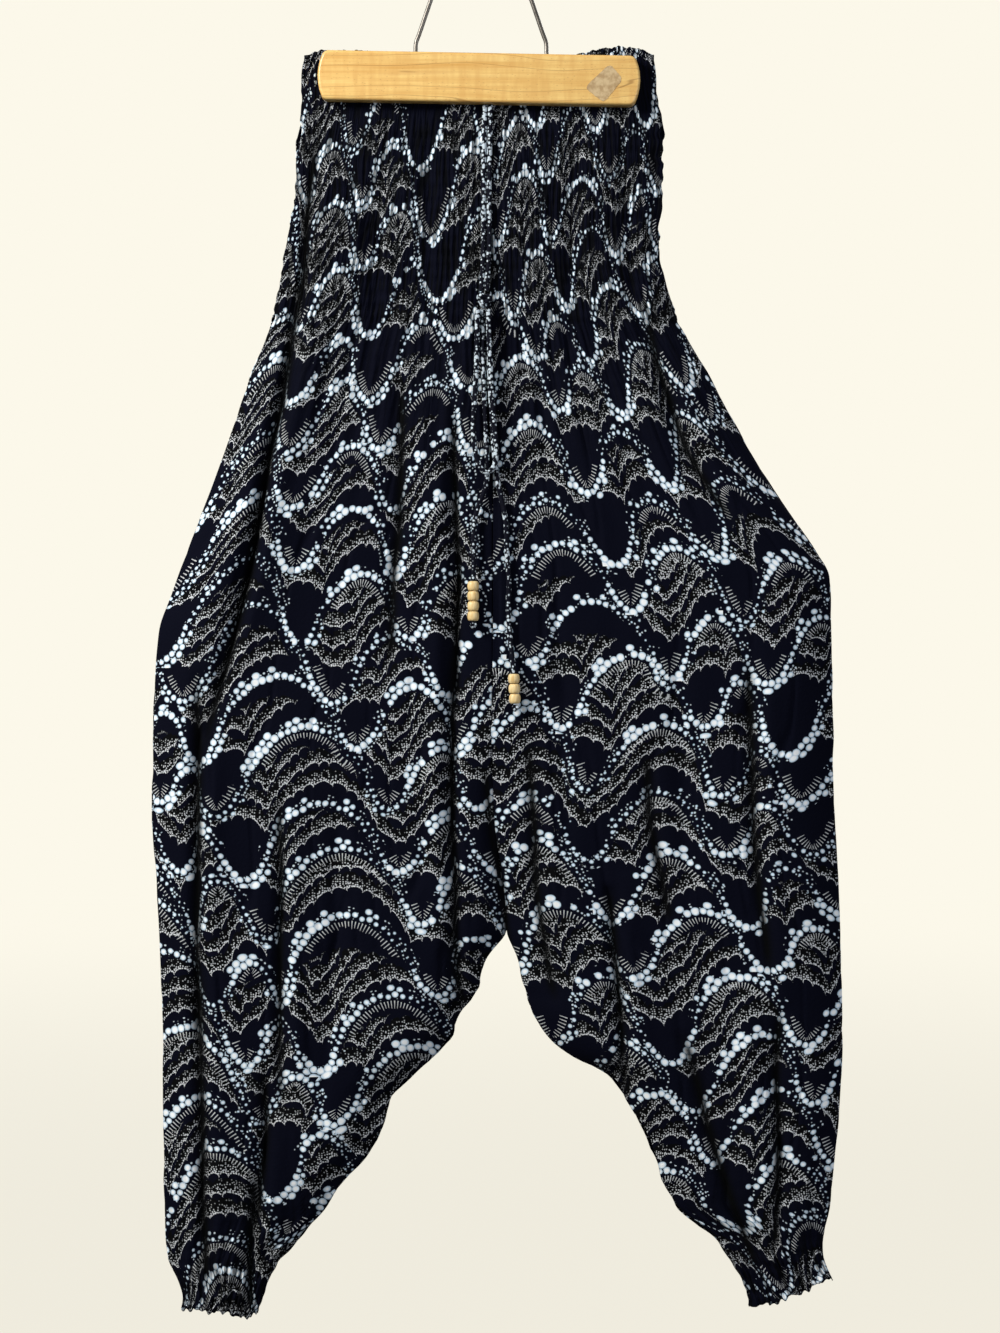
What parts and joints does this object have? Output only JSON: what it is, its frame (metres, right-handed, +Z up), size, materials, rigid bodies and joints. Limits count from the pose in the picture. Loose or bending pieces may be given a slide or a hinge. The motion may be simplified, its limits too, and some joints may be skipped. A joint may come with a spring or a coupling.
{
  "type": "harem pants on a clamp hanger",
  "caption": "Drop-crotch harem pants with a deep shirred waist, shirred ankles and a beaded drawstring, held flat by a wooden clamp hanger with a wire hook.",
  "frame": {"origin": "where the inside of the hook's wire rests on a rail", "axes": "+Z up, -Y out of the garment's front, +X towards the wearer's left"},
  "size_m": [0.5214, 0.051, 1.1377],
  "materials": {
    "printed_viscose": "matte navy black viscose with a printed pale blue and white dot pattern",
    "maple": "clear varnished pale maple",
    "bead_wood": "smooth pale wood",
    "bright_wire": "bright plated wire"
  },
  "bodies": {
    "root": {"front_right": "printed_viscose", "front_left": "printed_viscose", "back_right": "printed_viscose", "back_left": "printed_viscose", "drawstring_right": "printed_viscose", "drawstring_left": "printed_viscose", "drawstring_knot": "printed_viscose", "drawstring_loop": "printed_viscose", "drawstring_end_short": "printed_viscose", "drawstring_end_long": "printed_viscose", "end_knot_short": "printed_viscose", "end_knot_long": "printed_viscose", "bead_short_1": "bead_wood", "bead_short_2": "bead_wood", "bead_short_3": "bead_wood", "bead_short_4": "bead_wood", "bead_long_1": "bead_wood", "bead_long_2": "bead_wood", "bead_long_3": "bead_wood", "jaw_front": "maple", "jaw_back": "maple", "bail_right": "bright_wire", "bail_left": "bright_wire", "neck_ferrule": "bright_wire", "hook": "bright_wire"}
  },
  "joints": []
}
